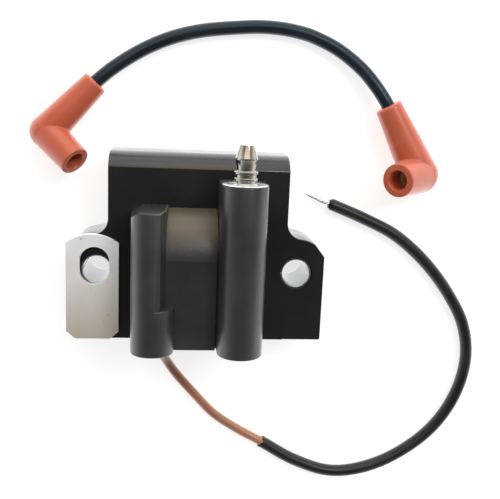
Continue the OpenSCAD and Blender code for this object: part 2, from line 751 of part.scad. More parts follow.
case();
potting();
core_laminations();
primary_bobbin();
primary_winding();
winding_insulation();
secondary_bobbin();
secondary_winding();
high_tension_link();
high_tension_terminal();
tower_sealant();
color([0.7, 0.71, 0.73]) bush(-1);  // mounting_bush_left
color([0.7, 0.71, 0.73]) bush(1);  // mounting_bush_right
primary_posts();
ground_wire();
ground_plate();
lead_grommet();
lead_conductor();
lead_insulation();
lead_sleeve();
plug_cable_jacket();
plug_cable_core();
coil_end_boot();
coil_end_spring();
plug_end_boot();
plug_end_spring();
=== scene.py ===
# %% [markdown]
# # An ignition coil with its primary lead and plug lead
# The coil is a black moulded block that screws flat against a small engine. The windings
# lie in its barrel, a plated terminal stands at the end of a long tower, and a steel plate
# on one ear carries the current back to the engine. A separate plug lead with two rubber
# elbow boots lies above it. This lesson builds the visible pieces one by one, in metres,
# in the same place as the frame's solids.

import math
import random

import bpy
from mathutils import Matrix, Vector


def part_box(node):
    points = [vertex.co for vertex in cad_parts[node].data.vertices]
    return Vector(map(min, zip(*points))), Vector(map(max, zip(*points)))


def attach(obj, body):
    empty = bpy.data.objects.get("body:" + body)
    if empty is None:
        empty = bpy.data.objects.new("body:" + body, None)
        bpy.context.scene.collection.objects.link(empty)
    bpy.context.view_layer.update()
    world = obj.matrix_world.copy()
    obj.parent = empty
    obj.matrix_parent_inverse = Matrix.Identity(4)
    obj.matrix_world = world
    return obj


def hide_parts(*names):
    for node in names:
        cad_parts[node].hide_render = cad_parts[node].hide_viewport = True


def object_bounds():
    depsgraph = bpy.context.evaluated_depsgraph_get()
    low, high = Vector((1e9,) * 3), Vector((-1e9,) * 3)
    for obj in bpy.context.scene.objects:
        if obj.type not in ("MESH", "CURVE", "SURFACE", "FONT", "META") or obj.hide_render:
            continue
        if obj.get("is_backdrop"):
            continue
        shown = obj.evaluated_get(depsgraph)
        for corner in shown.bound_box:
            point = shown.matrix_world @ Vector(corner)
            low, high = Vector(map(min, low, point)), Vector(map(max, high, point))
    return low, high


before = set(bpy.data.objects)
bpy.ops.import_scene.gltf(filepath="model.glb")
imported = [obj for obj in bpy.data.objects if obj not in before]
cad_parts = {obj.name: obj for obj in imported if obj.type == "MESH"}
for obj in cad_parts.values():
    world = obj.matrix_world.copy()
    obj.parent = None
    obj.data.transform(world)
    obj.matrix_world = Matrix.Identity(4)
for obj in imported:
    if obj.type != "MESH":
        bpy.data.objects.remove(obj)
bpy.ops.object.select_all(action="DESELECT")
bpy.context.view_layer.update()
MM = 0.001

# %% [markdown]
# ## The camera
# A long lens high above the table looks almost straight down at the coil's front. The
# camera leans a little towards the terminal end, so the moulding's top faces show and the
# rib and the tower hide a strip of the barrel beside them.

# %% Camera
CAMERA_PLACE = Vector((-6.14, 52.93, 237.72)) * MM
CAMERA_LEAN = math.radians(11.71)
CAMERA_SWING = math.radians(5.65)
CAMERA_ROLL = math.radians(-2.42)

camera = bpy.data.objects.new("camera", bpy.data.cameras.new("camera"))
bpy.context.scene.collection.objects.link(camera)
camera.data.lens = 53.8
camera.data.sensor_width = 36
camera.data.clip_start = 0.01
camera.data.clip_end = 20
into_camera = (Matrix.Rotation(CAMERA_ROLL, 3, "Z") @ Matrix.Rotation(CAMERA_LEAN, 3, "X")
               @ Matrix.Rotation(CAMERA_SWING, 3, "Y"))
camera.matrix_world = Matrix.Translation(CAMERA_PLACE) @ into_camera.transposed().to_4x4()
bpy.context.scene.camera = camera
print("camera at", tuple(round(c, 3) for c in camera.matrix_world.translation))

# %% [markdown]
# ## The leads' routes
# A lead is a curve with a round section. Its points follow the way it lies: out of the
# case, down to the table and round. Each point gets handles that follow its neighbours, so
# the curve bends evenly between them and a sleeve made from some of the points follows the
# same line as the wire inside it.

# %% Routes and the curve maker
LEAD = [(-12, -14.8, 11), (-12, -17, 11), (-12, -23, 11), (-11.4, -28, 8.4),
        (-9.3, -33.1, 3.6), (-5.8, -38.9, 1.5), (0.4, -46, 1.5), (7, -53, 1.5),
        (14.8, -58.4, 1.5), (23.8, -63.3, 1.8), (35.1, -69.8, 2), (48, -74.1, 2),
        (60.1, -72.9, 2), (72.1, -67.5, 2), (83.2, -58.2, 2), (90.3, -46.3, 2),
        (93, -33.1, 2), (90.8, -20.7, 2), (84.3, -9.4, 2), (75.2, 1.3, 2), (64.8, 9.7, 2),
        (54.1, 14.9, 2), (43, 19.3, 2), (34.3, 22.4, 1.4)]
CABLE = [(-39.5, 46.4, 5.2), (-31.5, 54.8, 5.2), (-25.7, 59.7, 4.4), (-17.7, 64.9, 3.2),
         (-9.2, 68.8, 2.4), (0.1, 71.3, 2.1), (12, 72.8, 2.1), (18, 73.2, 2.1),
         (24, 73, 2.1), (29, 72.3, 2.1), (33.9, 71.1, 2.2), (41.8, 67.6, 2.6),
         (49.2, 62.2, 3.8), (53.9, 57, 5.2), (58, 51.2, 6), (64.9, 38.9, 6)]
LEAD_STRIPPED, LEAD_SLEEVED, LEAD_BARED = 1, 9, 22


def knots(route):
    """Each point of a route with the two handles that make the curve smooth there."""
    points = [Vector(p) * MM for p in route]
    made = []
    for i, p in enumerate(points):
        before, after = points[max(i - 1, 0)], points[min(i + 1, len(points) - 1)]
        way = (after - before).normalized()
        made.append((p - way * (p - before).length / 3, p, p + way * (after - p).length / 3))
    return made


def lead_curve(name, route, first, last, radius, caps=True):
    """A round lead along a route, from one of its points to another."""
    data = bpy.data.curves.new(name, "CURVE")
    data.dimensions = "3D"
    data.resolution_u = 10
    data.bevel_depth = radius  # millimetres; each point's radius turns them into metres
    data.bevel_resolution = 6
    data.use_fill_caps = caps
    chosen = knots(route)[first:last + 1]
    spline = data.splines.new("BEZIER")
    spline.bezier_points.add(len(chosen) - 1)
    for point, (left, middle, right) in zip(spline.bezier_points, chosen):
        point.handle_left_type = point.handle_right_type = "FREE"
        point.handle_left, point.co, point.handle_right = left, middle, right
        point.radius = MM
    lead = bpy.data.objects.new(name, data)
    bpy.context.scene.collection.objects.link(lead)
    return lead


def route_length(route, first, last):
    points = [Vector(p) * MM for p in route[first:last + 1]]
    return sum((b - a).length for a, b in zip(points, points[1:]))


# %% The two leads
wire = lead_curve("primary_lead_wire", LEAD, LEAD_STRIPPED, LEAD_BARED, 1.5)
cable = lead_curve("plug_lead_cable", CABLE, 0, len(CABLE) - 1, 2.1)
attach(wire, "coil")
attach(cable, "plug_lead")
print("primary lead", round(route_length(LEAD, LEAD_STRIPPED, LEAD_BARED), 4), "m,",
      "plug cable", round(route_length(CABLE, 0, len(CABLE) - 1), 4), "m")

# %% [markdown]
# ## Tools for shaping
# Most pieces here are one of three kinds. A **slab** is an outline filled and pushed
# through a thickness, with its long edges rounded, like a moulded flange or a punched
# plate. A **turned** piece starts as a disc that is extruded and resized ring by ring, as
# on a lathe. Pieces are then joined and cut with Boolean modifiers, which gives one clean
# skin with no faces left inside.

# %% Selecting, joining and cutting


def pick(*pieces):
    """Selects only these pieces, the first one active."""
    bpy.ops.object.select_all(action="DESELECT")
    for piece in pieces:
        piece.select_set(True)
    bpy.context.view_layer.objects.active = pieces[0]


def edit_all(piece):
    pick(piece)
    bpy.ops.object.mode_set(mode="EDIT")
    bpy.ops.mesh.select_all(action="SELECT")


def settle(piece):
    """Puts a piece's place into its mesh, so that its object sits at the origin."""
    pick(piece)
    bpy.ops.object.transform_apply(location=True, rotation=True, scale=True)
    return piece


def tidy_skin(piece, merge=0.002):
    """Merges doubles and points every face outwards."""
    edit_all(piece)
    bpy.ops.mesh.remove_doubles(threshold=merge * MM)
    bpy.ops.mesh.normals_make_consistent(inside=False)
    bpy.ops.object.mode_set(mode="OBJECT")
    return piece


def combine(piece, other, operation):
    """Joins another closed piece to this one, or cuts it away, and removes it."""
    pick(piece)
    bpy.ops.object.modifier_add(type="BOOLEAN")
    boolean = piece.modifiers[-1]
    boolean.operation = operation
    boolean.solver = "EXACT"
    boolean.object = other
    bpy.ops.object.modifier_apply(modifier=boolean.name)
    bpy.data.objects.remove(other)
    return piece


def grow(piece, *others):
    for other in others:
        combine(piece, other, "UNION")
    return piece


def cut(piece, *others):
    for other in others:
        combine(piece, other, "DIFFERENCE")
    return piece


def soften(piece, angle=32, flat=15):
    """Shades round faces smoothly. A face larger than flat, in square millimetres, stays
    flat, and the rounded edges beside it start out in its direction."""
    pick(piece)
    bpy.ops.object.shade_smooth_by_angle(angle=math.radians(angle))
    mesh = piece.data
    large = [face for face in mesh.polygons if face.area > flat * MM * MM]
    beside = {}
    for face in large:
        for corner in face.vertices:
            beside.setdefault(corner, []).append(face.normal.copy())
    normals = [corner.vector.copy() for corner in mesh.corner_normals]
    for face in mesh.polygons:
        for i in face.loop_indices:
            near = [n for n in beside.get(mesh.loops[i].vertex_index, [])
                    if n.angle(face.normal) < math.radians(angle)]
            if near:
                normals[i] = min(near, key=lambda n: n.angle(face.normal))
    mesh.normals_split_custom_set(normals)
    return piece


# %% Outlines, slabs, bars and turned pieces


def arc(centre, radius, start, end, steps=12):
    """Points on an arc, from one angle to another, in degrees."""
    angles = [math.radians(start + (end - start) * i / steps) for i in range(steps + 1)]
    return [(centre[0] + radius * math.cos(a), centre[1] + radius * math.sin(a))
            for a in angles]


def rounded(corners, steps=6):
    """An outline from corners (x, y, radius): a corner with a radius becomes an arc."""
    made = []
    for i, (x, y, radius) in enumerate(corners):
        here = Vector((x, y))
        if radius == 0:
            made.append(tuple(here))
            continue
        to_last = (Vector(corners[i - 1][:2]) - here).normalized()
        to_next = (Vector(corners[(i + 1) % len(corners)][:2]) - here).normalized()
        half = to_last.angle(to_next) / 2
        centre = here + (to_last + to_next).normalized() * radius / math.sin(half)
        start = here + to_last * radius / math.tan(half) - centre
        end = here + to_next * radius / math.tan(half) - centre
        turn = start.angle_signed(end) * -1
        for k in range(steps + 1):
            made.append(tuple(centre + Matrix.Rotation(turn * k / steps, 2) @ start))
    return made


ALONG = {
    "X": Matrix(((0, 0, 1), (1, 0, 0), (0, 1, 0))),
    "Y": Matrix(((1, 0, 0), (0, 0, -1), (0, 1, 0))),
    "Z": Matrix.Identity(3),
}


def slab(name, outline, low, high, along="Z", edge=0.35, holes=()):
    """A filled outline pushed through from low to high, its two rims rounded by edge.
    Along X the outline is (y, z), along Y it is (x, z), and along Z it is (x, y)."""
    data = bpy.data.curves.new(name, "CURVE")
    data.dimensions = "2D"
    data.fill_mode = "BOTH"
    data.extrude = ((high - low) / 2 - edge) * MM
    data.bevel_depth = edge * MM
    data.offset = -edge * MM
    data.bevel_resolution = 2
    for loop in (outline, *holes):
        spline = data.splines.new("POLY")
        spline.points.add(len(loop) - 1)
        spline.use_cyclic_u = True
        for point, (x, y) in zip(spline.points, loop):
            point.co = (x * MM, y * MM, 0, 1)
    piece = bpy.data.objects.new(name, data)
    bpy.context.scene.collection.objects.link(piece)
    turn = ALONG[along]
    middle = turn @ Vector((0, 0, 1)) * (low + high) / 2
    if along == "Y":
        middle = -middle
    pick(piece)
    bpy.ops.object.convert(target="MESH")
    piece.matrix_world = Matrix.Translation(middle * MM) @ turn.to_4x4()
    settle(piece)
    edit_all(piece)
    bpy.ops.mesh.remove_doubles(threshold=0.001 * MM)
    bpy.ops.mesh.dissolve_limited(angle_limit=math.radians(0.5))
    bpy.ops.mesh.normals_make_consistent(inside=False)
    bpy.ops.object.mode_set(mode="OBJECT")
    return piece


def box(low, high):
    """A plain block between two corners, for joining or cutting."""
    low, high = Vector(low) * MM, Vector(high) * MM
    bpy.ops.mesh.primitive_cube_add(size=1, location=(low + high) / 2)
    block = bpy.context.object
    block.scale = high - low
    return settle(block)


def rod(start, end, radius, sides=64, tip=None):
    """A plain round bar between two points, for joining or cutting."""
    start, end = Vector(start) * MM, Vector(end) * MM
    way = end - start
    tip = radius if tip is None else tip
    bpy.ops.mesh.primitive_cone_add(vertices=sides, radius1=radius * MM, radius2=tip * MM,
                                    depth=way.length, location=(start + end) / 2)
    bar = bpy.context.object
    bar.rotation_mode = "QUATERNION"
    bar.rotation_quaternion = way.to_track_quat("Z", "Y")
    return settle(bar)


def turned(name, rings, sides=64, place=None):
    """A round piece built up along Z from a disc: each ring is (radius, height)."""
    radius, height = rings[0]
    bpy.ops.mesh.primitive_circle_add(vertices=sides, radius=radius * MM, fill_type="NGON",
                                      location=(0, 0, height * MM))
    piece = settle(bpy.context.object)
    piece.name = name
    edit_all(piece)
    for (r0, z0), (r1, z1) in zip(rings, rings[1:]):
        bpy.ops.mesh.extrude_region_move(
            TRANSFORM_OT_translate={"value": (0, 0, (z1 - z0) * MM)})
        if r1 != r0:
            bpy.ops.transform.resize(value=(r1 / r0, r1 / r0, 1),
                                     center_override=(0, 0, z1 * MM))
    bpy.ops.mesh.select_all(action="SELECT")
    bpy.ops.mesh.normals_make_consistent(inside=False)
    bpy.ops.object.mode_set(mode="OBJECT")
    if place is not None:
        piece.matrix_world = place
        settle(piece)
    return piece


# %% [markdown]
# ## The case
# The case is one black moulding: a thick flange with an ear at each side, a rounded bar
# along its top, a barrel over the windings, a rib over the lead's end and the long tower.
# Each of these is made as its own slab or turned piece with its edges already rounded,
# because a bevel after the joining would trip over the places where round meets round.
# Then they are joined, and the room for the windings is cut out from behind.

# %% Sizes of the moulding
HALF_W, FOOT, THICK = 26.8, -21.2, 18
HOLE_X, BORE_R, BUSH_R = 30, 4.2, 4.7
BAR_Y, BAR_Z, BAR_R = 26.53, 10.552, 8.6
WINDING_Y, WINDING_Z, BARREL_R = 5.5, 14.8, 14.2
BARREL_FRONT = WINDING_Z + BARREL_R
TOWER_X, TOWER_Z, TOWER_R, TOWER_TOP = 12.3, 31.5, 6.6, 28.2
RIB_X, RIB_FRONT, RIB_TOP, RIB_STEP = -13, 36.4, 20.2, -7.5
WALL, HAIR = 2, 0.01

# %% Flange and ears
body = slab("case", [(FOOT, 0), (BAR_Y + BAR_R, 0)] + arc((BAR_Y, BAR_Z), BAR_R, 0, 60)
            + [(FOOT, THICK)], -HALF_W, HALF_W, "X")
EAR_R, EAR_FILLET, EAR_EDGE, EAR_CORNER = 10.6, 4.9, 38.6, 5.2
EAR_SHOULDER, EAR_CLIP = 35.6, 3.2
fillet_x = HALF_W + EAR_FILLET
fillet_y = math.sqrt((EAR_R + EAR_FILLET) ** 2 - (fillet_x - HOLE_X) ** 2)
touch = math.degrees(math.atan2(fillet_y, fillet_x - HOLE_X))
shoulder = math.degrees(math.acos((EAR_SHOULDER - HOLE_X) / EAR_R))
for side in (1, -1):
    corner = [(EAR_EDGE, FOOT + HAIR, 0.5)]
    if side < 0:
        corner = [(EAR_EDGE - EAR_CLIP, FOOT + HAIR, 0.5),
                  (EAR_EDGE, FOOT + EAR_CLIP, 0.5)]
    foot = rounded([(20, FOOT + HAIR, 0)] + corner
                   + [(EAR_EDGE, EAR_CORNER, 0.4), (EAR_SHOULDER, 9, 0), (20, 9, 0)])
    foot = foot[:-2]
    outline = (foot + arc((HOLE_X, 0), EAR_R, shoulder, touch)
               + arc((fillet_x, fillet_y), EAR_FILLET, touch - 180, -180)
               + [(20, fillet_y)])
    outline = [(side * x, y) for x, y in outline]
    grow(body, slab("ear", outline if side > 0 else outline[::-1], 0, THICK - HAIR))
print("flange and ears:", len(body.data.polygons), "faces")

# %% Barrel, rib and tower
GROOVE_X, GROOVE_DEEP = 5.35, 0.9
grow(body,
     slab("barrel", rounded([(FOOT + HAIR, 9, 0), (WINDING_Y + BARREL_R, 9, 0),
                             (WINDING_Y + BARREL_R, BARREL_FRONT, BARREL_R - HAIR),
                             (FOOT + HAIR, BARREL_FRONT, 0.3)], 24), -14, GROOVE_X, "X", 0.12),
     slab("groove", rounded([(FOOT + 0.4, 9, 0), (18.5, 9, 0),
                             (18.5, BARREL_FRONT - GROOVE_DEEP, 13),
                             (FOOT + 0.4, BARREL_FRONT - GROOVE_DEEP, 0.3)], 24),
          GROOVE_X - 2, TOWER_X, "X", 0.1))
rib_low = rounded([(-20, 16, 0), (-6.2, 16, 0), (-6.9, RIB_FRONT, 5.9),
                   (-18.9, RIB_FRONT, 5.9)], 12)
rib_high = (rounded([(-20, 16.1, 0), (-9, 16.1, 0), (-9.4, BARREL_FRONT, 0),
                     (-10.8, RIB_FRONT - 0.4, 0.3), (-12.6, RIB_FRONT - HAIR, 2),
                     (-18.95, RIB_FRONT - HAIR, 5.9)], 12))
grow(body,
     slab("rib_low", rib_low, FOOT + 2 * HAIR, RIB_STEP, "Y", 0.45),
     slab("rib_high", rib_high, RIB_STEP - 3, RIB_TOP, "Y", 0.45),
     slab("tower", [(5.45, 16.2), (19.3, 16.2)] + arc((TOWER_X, TOWER_Z), TOWER_R, 0, 180, 24),
          FOOT + 3 * HAIR, TOWER_TOP, "Y", 0.4))
cut(body, slab("rib_corner", [(-20.1, 20.6), (-20.1, 17.8), (-15.9, 20.6)], THICK + HAIR, 38,
               "Z", 0.01))
print("moulding:", len(body.data.polygons), "faces")

# %% [markdown]
# ### Inside the case
# The back is open, and resin fills it. The room is cut with the same sizes as the resin's
# solid in the frame, so the two meet: a wide pocket behind the flange, a round chamber in
# the barrel, a pocket in the rib and a bore up the tower. A shallow recess in the tower's
# end takes the sealant.

# %% Cutting the room, the holes and the recess
CHAMBER_L, CHAMBER_R = RIB_X - 6.5 + WALL, TOWER_X + TOWER_R - WALL
LEAD_X, LEAD_Z, GROMMET_R = -12, 11, 2.4
SEAL_Y, SEAL_R = TOWER_TOP - 1.2, TOWER_R - 0.6
cut(body,
    box((-23.8, FOOT + WALL, -1), (23.8, 30.8, THICK - WALL)),
    rod((CHAMBER_L, WINDING_Y, WINDING_Z), (CHAMBER_R, WINDING_Y, WINDING_Z), 12.2),
    box((CHAMBER_L + HAIR, FOOT + WALL + HAIR, THICK - WALL - 1),
        (-11.9, RIB_TOP - WALL, 30.9)),
    rod((TOWER_X, 1.5, TOWER_Z), (TOWER_X, SEAL_Y + 0.5, TOWER_Z), 5),
    rod((TOWER_X, SEAL_Y, TOWER_Z), (TOWER_X, TOWER_TOP + 1, TOWER_Z), SEAL_R),
    rod((LEAD_X, FOOT - 1, LEAD_Z), (LEAD_X, FOOT + WALL + 1, LEAD_Z), GROMMET_R, 32),
    box((-24.6, -14, 10), (-23.4, -7, 20)))
for side in (1, -1):
    cut(body,
        rod((side * HOLE_X, 0, -1), (side * HOLE_X, 0, THICK + 1), BUSH_R),
        rod((side * HOLE_X, 0, THICK - 0.3), (side * HOLE_X, 0, THICK + 0.3), BUSH_R, 64,
            BUSH_R + 0.6))
soften(tidy_skin(body, 0.004), 32, 60)
case = body
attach(case, "coil")
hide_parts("case")
print("case:", len(case.data.polygons), "faces")

# %% [markdown]
# ## The bushes
# A thin steel bush lines each hole, so the screw does not crush the plastic. It is rolled
# from strip, which leaves a fine split down one side. Here it is a turned bar with broken
# lips, cut by a slightly longer one, and then by a thin blade for the split.

# %% Bushes
for side, name in ((-1, "mounting_bush_left"), (1, "mounting_bush_right")):
    low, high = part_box(name)
    tall = high[2] / MM
    place = Matrix.Translation((side * HOLE_X * MM, 0, 0))
    bush = turned(name + "_lined", [(BUSH_R - 0.15, 0), (BUSH_R - HAIR, 0.15),
                                    (BUSH_R - HAIR, tall - 0.15), (BUSH_R - 0.15, tall)],
                  place=place)
    cut(bush, rod((side * HOLE_X, 0, -1), (side * HOLE_X, 0, tall + 1), BORE_R),
        rod((side * HOLE_X, 0, tall - 0.12), (side * HOLE_X, 0, tall + 0.18), BORE_R, 64,
            BORE_R + 0.3),
        slab("split", [(side * HOLE_X - 5, -0.13), (side * HOLE_X - 4, -0.13),
                       (side * HOLE_X - 4, 0.13), (side * HOLE_X - 5, 0.13)], -1, tall + 1,
             "Z", 0.01))
    soften(tidy_skin(bush))
    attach(bush, "coil")
    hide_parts(name)

# %% [markdown]
# ## The ground plate
# A punched steel plate sits on the left ear. Its top is a wide arc, its foot has clipped
# corners and its slot lets the plate settle round the screw. A tongue goes down through
# the case into the resin, where a wire joins it to the winding.

# %% Plate
PLATE_X, PLATE_HALF, PLATE_R, PLATE_ARC_Y, PLATE_FOOT = -31.2, 7.8, 12.5, -1.5, -21.15
SLOT_X, SLOT_Y, SLOT_R, SLOT_HALF = -30.55, 1.45, 4.3, 1.35
corner = math.degrees(math.acos(PLATE_HALF / PLATE_R))
right, left = PLATE_X + PLATE_HALF, PLATE_X - PLATE_HALF
plate_outline = (rounded([(left, PLATE_FOOT + 2.3, 0.4), (left + 2.6, PLATE_FOOT, 0.4),
                          (right - 2.6, PLATE_FOOT, 0.4), (right, PLATE_FOOT + 2.3, 0.4),
                          (right, 7, 0), (left, 7, 0)])[:-2]
                 + arc((PLATE_X, PLATE_ARC_Y), PLATE_R, corner, 180 - corner, 24))
slot_outline = (arc((SLOT_X, SLOT_Y + SLOT_HALF), SLOT_R, 0, 180, 24)
                + arc((SLOT_X, SLOT_Y - SLOT_HALF), SLOT_R, 180, 360, 24))
plate = slab("ground_plate_punched", plate_outline, THICK + HAIR, THICK + 1.2, "Z", 0.12,
             [slot_outline])
tongue = box((-24.6 + HAIR, -14 + HAIR, 10 + HAIR), (right - HAIR, -7 - HAIR, THICK + 0.6))
soften(tidy_skin(grow(plate, tongue)))
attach(plate, "coil")
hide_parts("ground_plate")
print("plate:", len(plate.data.polygons), "faces")

# %% [markdown]
# ## The terminal and its seal
# The terminal is a turned part: a cone to lead the clip on, a head the size of a spark
# plug's, a waist and two rings. It is built up ring by ring with small chamfers, because
# the bright lines on metal come from its broken edges. The sealant round it was poured, so
# its top climbs the metal and the rim a little.

# %% Terminal and sealant
up_tower = (Matrix.Translation((TOWER_X * MM, 0, TOWER_Z * MM))
            @ Matrix.Rotation(math.radians(-90), 4, "X"))
NECK_Y = TOWER_TOP + 1.3
profile = [(1.4, 2.5), (1.6, 2.7), (1.6, SEAL_Y), (2.6, SEAL_Y), (2.6, NECK_Y - 0.2),
           (2.75, NECK_Y), (3.15, NECK_Y + 0.02), (3.3, NECK_Y + 0.18), (3.3, NECK_Y + 0.62),
           (3.15, NECK_Y + 0.78), (2.95, NECK_Y + 0.84), (2.95, NECK_Y + 1.68),
           (3.2, NECK_Y + 1.8), (3.4, NECK_Y + 1.98), (3.4, NECK_Y + 2.42),
           (3.2, NECK_Y + 2.6), (2.75, NECK_Y + 2.64), (2.6, NECK_Y + 2.8),
           (2.6, NECK_Y + 3.35), (3.1, NECK_Y + 5.66), (3.175, NECK_Y + 5.75),
           (3.175, NECK_Y + 6.2), (3.1, NECK_Y + 6.3), (2.0, NECK_Y + 9.7),
           (1.8, NECK_Y + 9.83), (1.3, NECK_Y + 9.85)]
terminal = turned("terminal_turned", profile, 72, up_tower)
soften(terminal, 28)
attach(terminal, "coil")
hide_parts("high_tension_terminal")

seal = turned("sealant_poured", [(SEAL_R - HAIR, SEAL_Y), (SEAL_R - HAIR, TOWER_TOP + 0.01),
                                 (6.45, TOWER_TOP + 0.02), (6.55, TOWER_TOP + 0.14),
                                 (6.3, TOWER_TOP + 0.28), (5.3, TOWER_TOP + 0.32),
                                 (4.3, TOWER_TOP + 0.18), (3.6, TOWER_TOP + 0.2),
                                 (3.0, TOWER_TOP + 0.36), (2.7, TOWER_TOP + 0.6)], 72, up_tower)
cut(seal, rod((TOWER_X, SEAL_Y - 1, TOWER_Z), (TOWER_X, TOWER_TOP + 2, TOWER_Z), 2.6 + HAIR))
soften(tidy_skin(seal), 50)
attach(seal, "coil")
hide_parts("tower_sealant")

# %% [markdown]
# ## The grommet
# The primary lead leaves through the foot of the case. A small rubber grommet with a
# rounded lip keeps its insulation off the edge of the hole.

# %% Grommet
at_lead = (Matrix.Translation((LEAD_X * MM, FOOT * MM, LEAD_Z * MM))
           @ Matrix.Rotation(math.radians(90), 4, "X"))
grommet = turned("grommet_lipped", [(GROMMET_R - HAIR, -2), (GROMMET_R - HAIR, 0),
                                    (2.85, 0.02), (3, 0.2), (3, 0.5), (2.8, 0.75),
                                    (2.2, 0.8)], 48, at_lead)
cut(grommet, rod((LEAD_X, FOOT - 2, LEAD_Z), (LEAD_X, FOOT + 3, LEAD_Z), 1.5, 48))
soften(tidy_skin(grommet), 40)
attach(grommet, "coil")
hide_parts("lead_grommet")

# %% [markdown]
# ## The sleeve and the bare end
# A black sleeve protects most of the lead. It was cut by hand and pushed on, so its ends
# are ragged and its width is not quite even. The strands at the bare end are twisted and
# tinned, and draw together to a point: seven thin curves wound round the lead's line.

# %% Sleeve
random.seed(7)
lip = Vector(LEAD[LEAD_BARED]) + (Vector(LEAD[-1]) - Vector(LEAD[LEAD_BARED])).normalized()
SLEEVE = LEAD[:LEAD_BARED + 1] + [tuple(lip)]
sleeve = lead_curve("lead_sleeve_cut", SLEEVE, LEAD_SLEEVED, LEAD_BARED + 1, 2, caps=False)
for point in sleeve.data.splines[0].bezier_points:
    point.radius = MM * (1 - 0.05 * random.random())
sleeve.data.splines[0].bezier_points[-1].radius = MM * 0.68
pick(sleeve)
bpy.ops.object.convert(target="MESH")
sleeve_start = Vector(LEAD[LEAD_SLEEVED]) * MM
sleeve_way = (Vector(LEAD[LEAD_SLEEVED + 1]) * MM - sleeve_start).normalized()
for vertex in sleeve.data.vertices:
    if (vertex.co - sleeve_start).length < 2.2 * MM:
        vertex.co += sleeve_way * random.uniform(-0.7, 0.5) * MM
pick(sleeve)
bpy.ops.object.modifier_add(type="SOLIDIFY")
sleeve.modifiers[-1].thickness = 0.4 * MM
sleeve.modifiers[-1].offset = -1
bpy.ops.object.modifier_apply(modifier=sleeve.modifiers[-1].name)
soften(tidy_skin(sleeve), 50)
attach(sleeve, "coil")
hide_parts("lead_sleeve")

# %% Tinned strands
tip_start, tip_end = Vector(LEAD[LEAD_BARED]) * MM, Vector(LEAD[LEAD_BARED + 1]) * MM
tip_way = (tip_end - tip_start).normalized()
tip_side = tip_way.cross(Vector((0, 0, 1))).normalized()
tip_up = tip_side.cross(tip_way)
TWISTS, STRAND_R, STRAND_STEPS, STRAND_ROOT = 0.6, 0.4, 24, 1.5 * MM
strands = []
for strand in range(7):
    data = bpy.data.curves.new("strand", "CURVE")
    data.dimensions = "3D"
    data.bevel_depth = STRAND_R
    data.bevel_resolution = 4
    data.use_fill_caps = True
    spline = data.splines.new("POLY")
    spline.points.add(STRAND_STEPS)
    length = (tip_end - tip_start).length * (1 - 0.04 * (strand % 3)) + STRAND_ROOT
    for i, point in enumerate(spline.points):
        way = i / STRAND_STEPS
        turn = 2 * math.pi * (strand / 6 + TWISTS * way)
        taper = 1 - max(0, way - 0.45) ** 1.4 / 0.55 ** 1.4
        out = (0 if strand == 6 else 0.5 * taper) * MM
        spot = (tip_start + tip_way * (length * way - STRAND_ROOT)
                + out * (math.cos(turn) * tip_side + math.sin(turn) * tip_up))
        point.co = (*spot, 1)
        point.radius = MM * (0.3 + 0.7 * taper)
    piece = bpy.data.objects.new("strand", data)
    bpy.context.scene.collection.objects.link(piece)
    pick(piece)
    bpy.ops.object.convert(target="MESH")
    strands.append(piece)
pick(*strands)
bpy.ops.object.join()
tip = strands[0]
tip.name = "tinned_strands"
soften(tip, 60)
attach(tip, "coil")

# %% [markdown]
# ## The boots
# Each boot is two tapered rubber tubes that meet at an elbow. The tubes and a ball are
# modelled first and then remeshed together in small cells, which welds them with the
# gentle blend that moulded rubber has. The holes are cut afterwards, so their edges stay
# crisp. A boot is shaped lying along X with its elbow at the origin, and then moved to its
# end of the cable.

# %% Boot maker
CABLE_HOLE_R, WIRE_HOLE_R, CLIP_FLOOR = 2.18, 1.3, 3


def end_of_cable(end, after, elbow_l):
    """Moves the boot's own frame to a cable end, with X along the cable."""
    end, after = Vector(end), Vector(after)
    way = (after - end).normalized()
    return (Matrix.Translation((end - way * elbow_l) * MM)
            @ Matrix.Rotation(math.atan2(way.y, way.x), 4, "Z"))


def lipped(start_r, end_r, length, lip):
    """Rings for a tapered tube with a rounded lip at its open end."""
    rings = [(start_r, 0), (start_r + (end_r - start_r) * 0.5, length * 0.5),
             (end_r, length - lip)]
    return rings + [(end_r - lip * (1 - math.cos(math.radians(a))),
                     length - lip + lip * math.sin(math.radians(a)))
                    for a in (30, 60, 90)]


